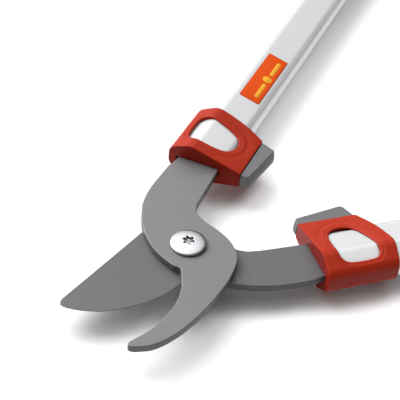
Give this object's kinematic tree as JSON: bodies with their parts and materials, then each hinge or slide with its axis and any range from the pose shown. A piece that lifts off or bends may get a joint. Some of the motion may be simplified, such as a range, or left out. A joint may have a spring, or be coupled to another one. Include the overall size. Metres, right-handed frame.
{
  "type": "bypass loppers",
  "caption": "Long-handled bypass loppers: a hooked counter-blade and a cutting blade pass each other on a bolt to cut branches, with rubber stops between the tubular arms.",
  "frame": {"origin": "middle of the pivot nut's flat outer face, on the pivot axis, at the height of the table", "axes": "+X half way between the two arms, towards the grips; +Y to the side of the hooked counter-blade's arm; +Z along the pivot bolt, out of its domed head"},
  "size_m": [0.5968, 0.5408, 0.0345],
  "materials": {
    "hook_steel": "satin grey coating",
    "blade_steel": "satin dark grey non-stick coating, ground edge bare",
    "chrome": "polished",
    "zinc_steel": "zinc plated",
    "bronze": "plain sintered bronze",
    "tube_aluminium": "light satin silver",
    "red_plastic": "satin moulded",
    "grey_rubber": "matte",
    "black_plastic": "matte moulded",
    "label_film": "printed film, plain"
  },
  "bodies": {
    "hook_half": {"hook_counter_blade": "hook_steel", "pivot_bolt": "chrome", "pivot_head_washer": "black_plastic", "pivot_bush": "bronze", "pivot_nut_washer": "zinc_steel", "pivot_nut": "zinc_steel", "hook_arm_tube": "tube_aluminium", "hook_arm_collar": "red_plastic", "hook_arm_bumper": "grey_rubber", "hook_arm_tang_insert": "black_plastic", "hook_arm_front_rivet": "zinc_steel", "hook_arm_rear_rivet": "zinc_steel", "hook_arm_grip_core": "red_plastic", "hook_arm_grip_sleeve": "grey_rubber", "hook_arm_end_cap": "black_plastic", "hook_arm_label": "label_film"},
    "blade_half": {"cutting_blade": "blade_steel", "blade_arm_tube": "tube_aluminium", "blade_arm_collar": "red_plastic", "blade_arm_bumper": "grey_rubber", "blade_arm_tang_insert": "black_plastic", "blade_arm_front_rivet": "zinc_steel", "blade_arm_rear_rivet": "zinc_steel", "blade_arm_grip_core": "red_plastic", "blade_arm_grip_sleeve": "grey_rubber", "blade_arm_end_cap": "black_plastic"}
  },
  "joints": [
    {"name": "blade_pivot", "type": "hinge", "parent": "hook_half", "child": "blade_half", "pos_m": [0, 0, 0], "axis": [0, 0, -1], "range_deg": [-31.7, 30]}
  ]
}
